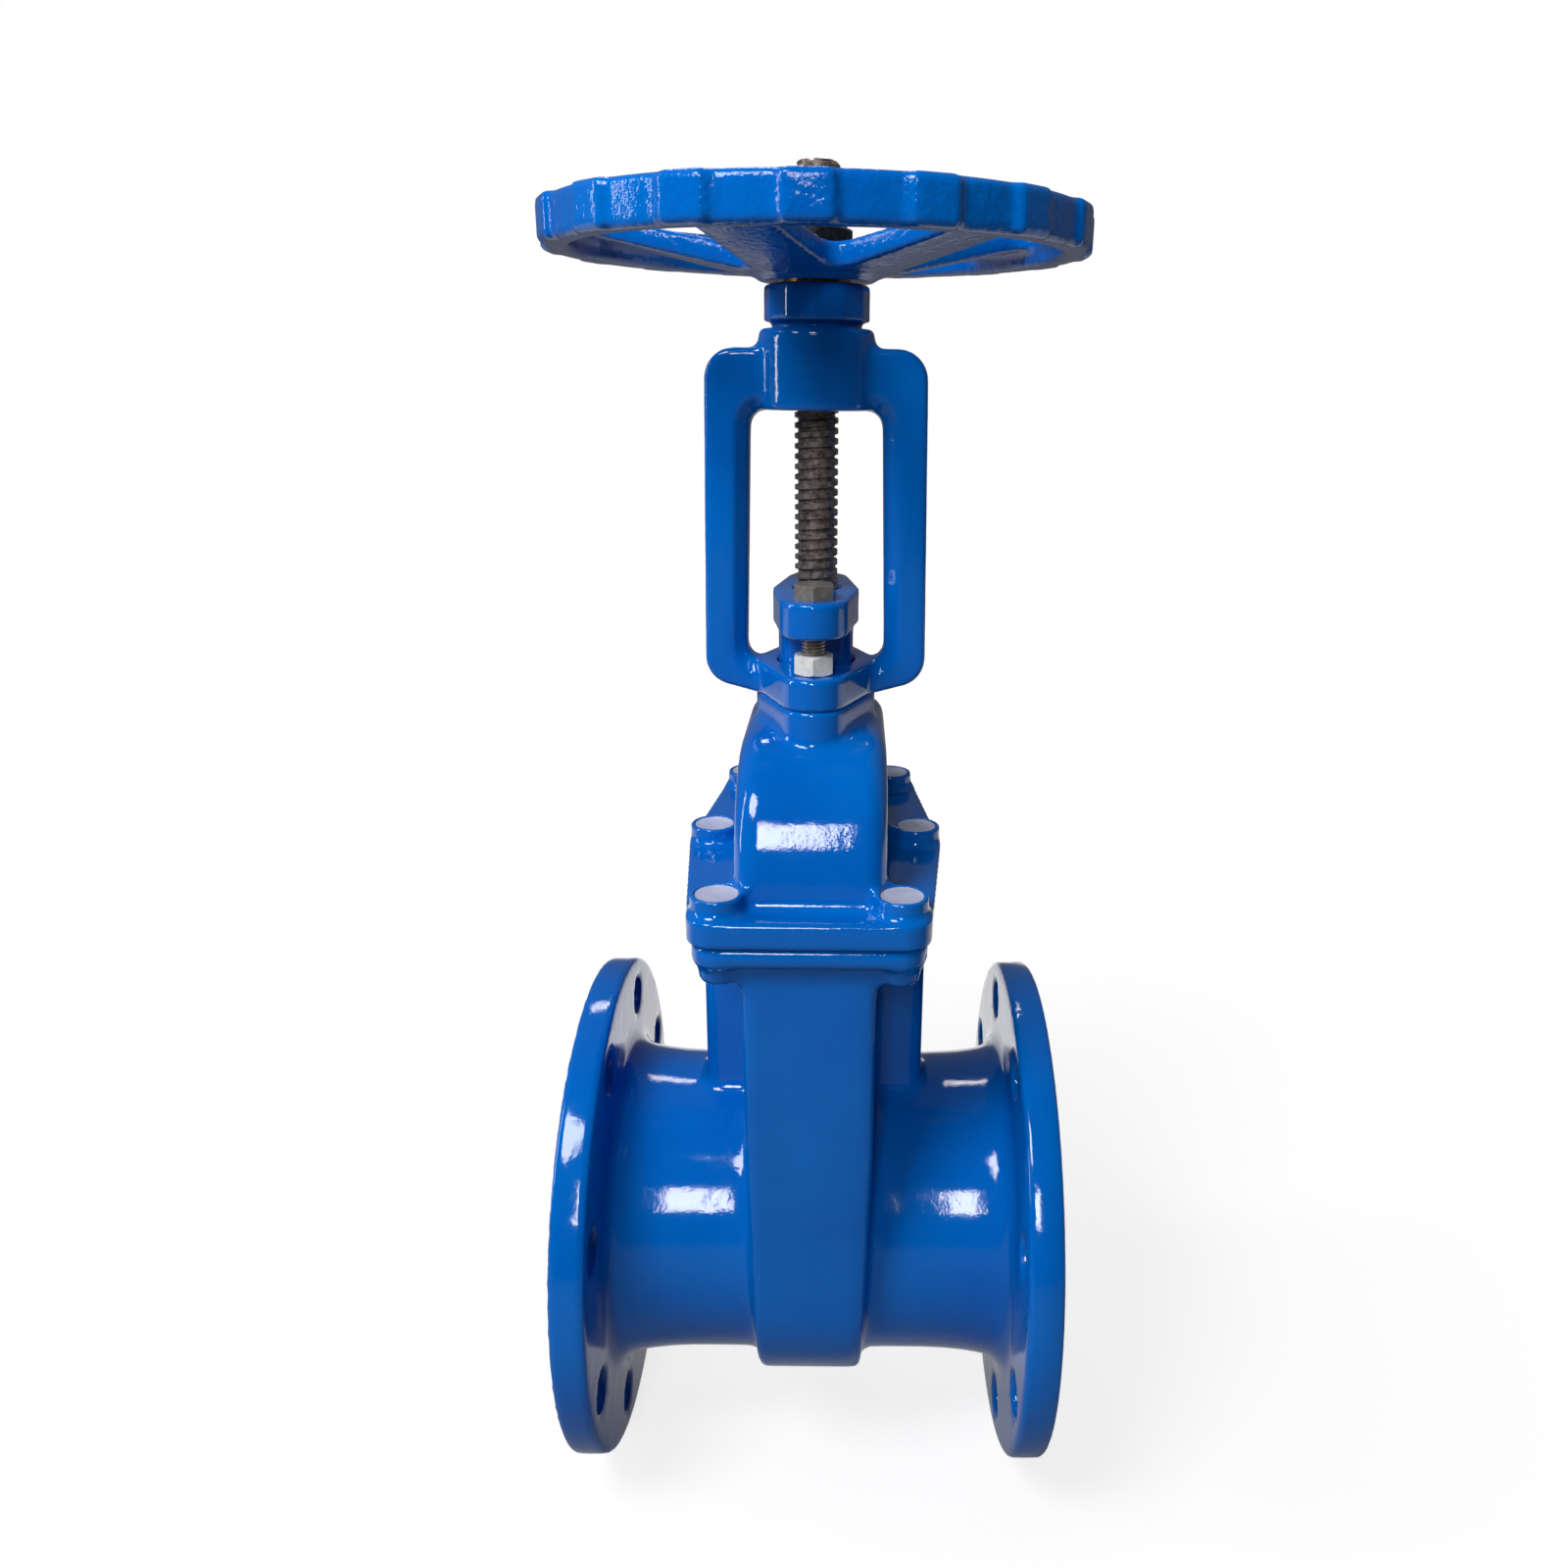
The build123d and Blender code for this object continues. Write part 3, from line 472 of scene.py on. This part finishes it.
def make_washer():
    """Washer with rounded edges."""
    low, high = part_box("wheel_washer")
    outer = high.x - stem_axis.x
    edge = WASHER_ROUND
    profile = (
        (SPINDLE_RADIUS, low.z),
        (outer - edge, low.z),
        (outer, low.z + edge),
        (outer, high.z - edge),
        (outer - edge, high.z),
        (SPINDLE_RADIUS, high.z),
    )
    form = turned(profile, stem_axis)
    return clean(piece_from("washer_rounded", *form, "wheel_washer", "black_steel"))


def make_wax_plug(place):
    """Poured wax over a screw: a disc with a hollow top that climbs to the wall of its bore."""
    node = "seal_plug_" + place
    low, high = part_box(node)
    centre = (low + high) / 2
    outer = high.x - centre.x
    profile = []
    for share in PLUG_RING_SHARES:
        profile.append((outer * share, high.z - PLUG_DISH * (1 - share ** PLUG_DISH_POWER)))
    profile += [(outer, low.z), (0, low.z)]
    form = turned(profile, centre, PLUG_SEGMENTS)
    return clean(piece_from("wax_plug_" + place, *form, node, "seal_wax"))


# Finishes


class Finish:
    """A material whose nodes are added one by one round its main shader."""

    def __init__(self, name):
        self.material = bpy.data.materials.new(name)
        self.material.use_nodes = True
        self.tree = self.material.node_tree
        self.shader = self.tree.nodes["Principled BSDF"]
        self.coordinates = self.node("ShaderNodeTexCoord").outputs["Object"]

    def node(self, kind):
        return self.tree.nodes.new(kind)

    def link(self, output, target):
        self.tree.links.new(output, target)

    def noise(self, scale, detail, roughness=0.5):
        made = self.node("ShaderNodeTexNoise")
        made.inputs["Scale"].default_value = scale
        made.inputs["Detail"].default_value = detail
        made.inputs["Roughness"].default_value = roughness
        self.link(self.coordinates, made.inputs["Vector"])
        return made.outputs["Fac"]

    def ramp(self, value, *stops):
        made = self.node("ShaderNodeValToRGB")
        ramp = made.color_ramp
        while len(ramp.elements) < len(stops):
            ramp.elements.new(0.5)
        for element, (place, colour) in zip(ramp.elements, stops):
            element.position = place
            element.color = (*colour, 1) if isinstance(colour, tuple) else (colour, colour, colour, 1)
        self.link(value, made.inputs["Fac"])
        return made.outputs["Color"]

    def bump(self, height, distance, under=None):
        made = self.node("ShaderNodeBump")
        made.inputs["Distance"].default_value = distance
        made.inputs["Strength"].default_value = 1
        self.link(height, made.inputs["Height"])
        if under is not None:
            self.link(under, made.inputs["Normal"])
        return made.outputs["Normal"]

    def colour(self, output):
        self.link(output, self.shader.inputs["Base Color"])

    def rough(self, output):
        self.link(output, self.shader.inputs["Roughness"])

    def surface(self, output):
        self.link(output, self.shader.inputs["Normal"])


def blue_paint(name, unevenness, gloss):
    """Glossy epoxy on a casting: fine orange peel over the unevenness of the iron."""
    finish = Finish(name)
    patches = finish.noise(PAINT_PATCH_SCALE, 4)
    finish.colour(finish.ramp(patches, (0.3, (0.0, 0.105, 0.47)), (0.7, (0.0, 0.135, 0.53))))
    finish.rough(finish.ramp(finish.noise(PAINT_GLOSS_SCALE, 3), (0.3, 0.04), (0.7, 0.09)))
    cast = finish.bump(finish.noise(PAINT_WAVE_SCALE, 2), PAINT_WAVE_DEPTH)
    pitted = finish.bump(finish.noise(PAINT_PIT_SCALE, 4), unevenness, under=cast)
    peel = finish.bump(finish.noise(PAINT_PEEL_SCALE, 2), PAINT_PEEL_DEPTH, under=pitted)
    finish.surface(peel)
    finish.shader.inputs["Specular IOR Level"].default_value = gloss
    return finish.material


def steel(name, dark, light, roughness, metallic=1.0):
    """Machined or plated metal with a fine grain and uneven gloss."""
    finish = Finish(name)
    finish.colour(finish.ramp(finish.noise(STEEL_SCALE, 5, 0.65), (0.35, dark), (0.65, light)))
    gloss = finish.noise(STEEL_GLOSS_SCALE, 3)
    finish.rough(finish.ramp(gloss, (0.3, roughness - 0.08), (0.7, roughness + 0.1)))
    finish.surface(finish.bump(finish.noise(STEEL_GRAIN_SCALE, 4), STEEL_GRAIN_DEPTH))
    finish.shader.inputs["Metallic"].default_value = metallic
    return finish.material


def moulded(name, dark, light, roughness):
    """Rubber, wax or plastic, slightly cloudy and with a fine grain."""
    finish = Finish(name)
    finish.colour(finish.ramp(finish.noise(MOULDED_PATCH_SCALE, 4), (0.3, dark), (0.7, light)))
    gloss = finish.noise(MOULDED_GLOSS_SCALE, 3)
    finish.rough(finish.ramp(gloss, (0.3, roughness - 0.06), (0.7, roughness + 0.06)))
    finish.surface(finish.bump(finish.noise(MOULDED_GRAIN_SCALE, 3), MOULDED_GRAIN_DEPTH))
    return finish.material


def assign(objects, material):
    """Give objects one material in place of any they have."""
    for obj in objects:
        obj.data.materials.clear()
        obj.data.materials.append(material)


# Light, floor and camera


def make_world():
    """White to the camera, pale behind the object and dim before it in mirrors, and a soft fill."""
    world = bpy.data.worlds.new("studio")
    bpy.context.scene.world = world
    world.use_nodes = True
    tree = world.node_tree
    tree.nodes.clear()
    path = tree.nodes.new("ShaderNodeLightPath")
    shown = tree.nodes.new("ShaderNodeBackground")
    shown.inputs["Color"].default_value = (1, 1, 1, 1)
    fill = tree.nodes.new("ShaderNodeBackground")
    fill.inputs["Color"].default_value = (1, 1, 1, 1)
    fill.inputs["Strength"].default_value = FILL_STRENGTH
    room = tree.nodes.new("ShaderNodeBackground")
    way = tree.nodes.new("ShaderNodeTexCoord")
    split = tree.nodes.new("ShaderNodeSeparateXYZ")
    tree.links.new(way.outputs["Generated"], split.inputs["Vector"])
    shade = tree.nodes.new("ShaderNodeValToRGB")
    stops = ((ROOM_DIM_END, ROOM_DIM), (ROOM_PALE_START, ROOM_PALE))
    for element, (place, level) in zip(shade.color_ramp.elements, stops):
        element.position = place
        element.color = (level, level, level, 1)
    depth = tree.nodes.new("ShaderNodeMapRange")
    depth.inputs["From Min"].default_value = -1
    tree.links.new(split.outputs["Y"], depth.inputs["Value"])
    tree.links.new(depth.outputs["Result"], shade.inputs["Fac"])
    tree.links.new(shade.outputs["Color"], room.inputs["Color"])
    mirrors = tree.nodes.new("ShaderNodeMath")
    mirrors.operation = "MAXIMUM"
    tree.links.new(path.outputs["Is Glossy Ray"], mirrors.inputs[0])
    tree.links.new(path.outputs["Is Transmission Ray"], mirrors.inputs[1])
    reflected = tree.nodes.new("ShaderNodeMixShader")
    tree.links.new(mirrors.outputs[0], reflected.inputs["Fac"])
    tree.links.new(fill.outputs[0], reflected.inputs[1])
    tree.links.new(room.outputs[0], reflected.inputs[2])
    seen = tree.nodes.new("ShaderNodeMixShader")
    tree.links.new(path.outputs["Is Camera Ray"], seen.inputs["Fac"])
    tree.links.new(reflected.outputs[0], seen.inputs[1])
    tree.links.new(shown.outputs[0], seen.inputs[2])
    output = tree.nodes.new("ShaderNodeOutputWorld")
    tree.links.new(seen.outputs[0], output.inputs["Surface"])


def make_floor():
    """Plain pale floor that shows white to the camera, keeps the object's shadow and shows in mirrors."""
    mesh = bpy.data.meshes.new("floor")
    size = FLOOR_HALF_SIZE
    corners = [(-size, -size, 0), (size, -size, 0), (size, size, 0), (-size, size, 0)]
    mesh.from_pydata(corners, [], [(0, 1, 2, 3)])
    floor = bpy.data.objects.new("floor", mesh)
    floor.location = (stem_axis.x, 0, floor_height)
    bpy.context.scene.collection.objects.link(floor)
    material = bpy.data.materials.new("floor_white")
    material.use_nodes = True
    tree = material.node_tree
    shader = tree.nodes["Principled BSDF"]
    shader.inputs["Base Color"].default_value = (FLOOR_GREY, FLOOR_GREY, FLOOR_GREY, 1)
    shader.inputs["Roughness"].default_value = 0.9
    shader.inputs["Specular IOR Level"].default_value = 0.0
    shader.inputs["Emission Color"].default_value = (1, 1, 1, 1)
    path = tree.nodes.new("ShaderNodeLightPath")
    place = tree.nodes.new("ShaderNodeTexCoord")
    away = tree.nodes.new("ShaderNodeVectorMath")
    away.operation = "LENGTH"
    tree.links.new(place.outputs["Object"], away.inputs[0])
    fade = tree.nodes.new("ShaderNodeMapRange")
    fade.inputs["From Min"].default_value = FLOOR_FADE_START
    fade.inputs["From Max"].default_value = FLOOR_FADE_END
    fade.inputs["To Min"].default_value = FLOOR_LIFT
    fade.inputs["To Max"].default_value = 1
    tree.links.new(away.outputs["Value"], fade.inputs["Value"])
    split = tree.nodes.new("ShaderNodeSeparateXYZ")
    tree.links.new(place.outputs["Object"], split.inputs["Vector"])
    depth = tree.nodes.new("ShaderNodeMapRange")
    depth.inputs["From Min"].default_value = -FLOOR_HALF_SIZE
    depth.inputs["From Max"].default_value = FLOOR_HALF_SIZE
    tree.links.new(split.outputs["Y"], depth.inputs["Value"])
    behind = tree.nodes.new("ShaderNodeValToRGB")
    while len(behind.color_ramp.elements) < len(FLOOR_MIRRORED):
        behind.color_ramp.elements.new(1.0)
    for element, (away_from_stem, level) in zip(behind.color_ramp.elements, FLOOR_MIRRORED):
        element.position = 0.5 + away_from_stem / (2 * FLOOR_HALF_SIZE)
        element.color = (level, level, level, 1)
    tree.links.new(depth.outputs["Result"], behind.inputs["Fac"])
    mirrors = tree.nodes.new("ShaderNodeMath")
    mirrors.operation = "MAXIMUM"
    tree.links.new(path.outputs["Is Glossy Ray"], mirrors.inputs[0])
    tree.links.new(path.outputs["Is Transmission Ray"], mirrors.inputs[1])
    mirrored = tree.nodes.new("ShaderNodeMath")
    mirrored.operation = "MULTIPLY"
    tree.links.new(mirrors.outputs[0], mirrored.inputs[0])
    tree.links.new(behind.outputs["Color"], mirrored.inputs[1])
    lift = tree.nodes.new("ShaderNodeMath")
    lift.operation = "MULTIPLY_ADD"
    tree.links.new(path.outputs["Is Camera Ray"], lift.inputs[0])
    tree.links.new(fade.outputs["Result"], lift.inputs[1])
    tree.links.new(mirrored.outputs[0], lift.inputs[2])
    tree.links.new(lift.outputs[0], shader.inputs["Emission Strength"])
    mesh.materials.append(material)


def softbox(name, azimuth, elevation, distance, width, height, radiance, aim):
    """Area lamp seen from the aim point at an azimuth from the camera side and an elevation."""
    lamp = bpy.data.lights.new(name, "AREA")
    lamp.shape = "RECTANGLE"
    lamp.size = width
    lamp.size_y = height
    lamp.energy = radiance * pi * width * height
    box = bpy.data.objects.new(name, lamp)
    across = radians(azimuth)
    up = radians(elevation)
    away = Vector((sin(across) * cos(up), -cos(across) * cos(up), sin(up)))
    box.location = aim + away * distance
    box.rotation_mode = "QUATERNION"
    box.rotation_quaternion = (-away).to_track_quat("-Z", "Y")
    bpy.context.scene.collection.objects.link(box)


def make_lamps():
    """All lamps of the studio, aimed at the middle of the body's front."""
    middle = Vector((stem_axis.x, -LAMP_AIM_FORWARD, LAMP_AIM_HEIGHT))
    for name, values in LAMPS.items():
        softbox(name, *values, middle)


def make_camera():
    """Camera where the photo was taken."""
    camera = bpy.data.cameras.new("photo_camera")
    camera.sensor_width = CAMERA_SENSOR
    camera.lens = CAMERA_LENS
    camera.shift_x = CAMERA_SHIFT_X
    holder = bpy.data.objects.new("photo_camera", camera)
    holder.location = Vector((stem_axis.x, 0, 0)) + CAMERA_BESIDE_STEM
    level = cos(CAMERA_PITCH)
    forward = Vector((sin(CAMERA_YAW) * level, cos(CAMERA_YAW) * level, -sin(CAMERA_PITCH)))
    tilt = Quaternion((0, 0, 1), -CAMERA_ROLL)
    holder.rotation_mode = "QUATERNION"
    holder.rotation_quaternion = forward.to_track_quat("-Z", "Y") @ tilt
    bpy.context.scene.collection.objects.link(holder)
    bpy.context.scene.camera = holder


# The object
pieces = {}
for node, (name, voxel, fillet, edge) in CASTINGS.items():
    plain = body_inside if node == "valve_body" else None
    sizes = (voxel * MILLIMETRE, fillet * MILLIMETRE, edge * MILLIMETRE)
    pieces[node] = cast_form(node, name, *sizes, plain)
pieces["stem"] = make_stem()
gland_nuts = []
for place in ("front", "rear"):
    pieces["gland_bolt_" + place] = make_gland_bolt(place)
    gland_nuts.append(make_gland_nut(place))
pieces["wheel_lock_nut"] = make_lock_nut()
pieces["wheel_washer"] = make_washer()
plug_nodes = [node for node in frame["nodes"] if node.startswith("seal_plug_")]
for node in plug_nodes:
    pieces[node] = make_wax_plug(node.removeprefix("seal_plug_"))

# Finishes on pieces and on the nodes that stay
shown = {**frame["nodes"], **pieces}
finishes = {
    "blue_paint": blue_paint("blue_epoxy", 0.00006, 0.4),
    "gasket_rubber": moulded("gasket_rubber", (0.012, 0.012, 0.012), (0.025, 0.025, 0.025), 0.6),
    "screw_steel": steel("screw_steel", (0.3, 0.29, 0.28), (0.5, 0.49, 0.47), 0.35),
    "seal_wax": moulded("seal_wax", (0.40, 0.43, 0.62), (0.52, 0.55, 0.70), 0.4),
    "packing_rubber": moulded("packing_rubber", (0.012, 0.012, 0.012), (0.025, 0.025, 0.025), 0.6),
    "bolt_steel": steel("bolt_zinc", (0.22, 0.205, 0.19), (0.34, 0.315, 0.28), 0.33, 0.6),
    "stem_steel": steel("stem_steel", (0.06, 0.049, 0.045), (0.32, 0.27, 0.25), 0.34, 0.55),
    "wedge_rubber": moulded("wedge_rubber", (0.012, 0.012, 0.012), (0.024, 0.024, 0.024), 0.42),
    "shoe_plastic": moulded("shoe_plastic", (0.70, 0.67, 0.58), (0.78, 0.75, 0.67), 0.4),
    "nut_brass": steel("nut_brass", (0.55, 0.36, 0.12), (0.74, 0.52, 0.21), 0.28),
    "black_steel": steel("black_oxide", (0.012, 0.012, 0.013), (0.035, 0.034, 0.034), 0.4, 0.6),
}
for subpart in frame["record"]["subparts"]:
    assign([shown[subpart["node"]]], finishes[subpart["material_slot"]])
assign([shown["handwheel"]], blue_paint("blue_epoxy_wheel", 0.0006, 0.3))
# Gland nuts: bright zinc plating. The near-white base colour with little metal also paints in the highlight
# on their faces (painted highlight).
assign(gland_nuts, steel("nut_zinc_painted_highlight", (0.66, 0.66, 0.66), (0.84, 0.84, 0.82), 0.25, 0.2))

make_world()
make_floor()
make_lamps()
make_camera()
bpy.context.scene.view_settings.view_transform = "Standard"
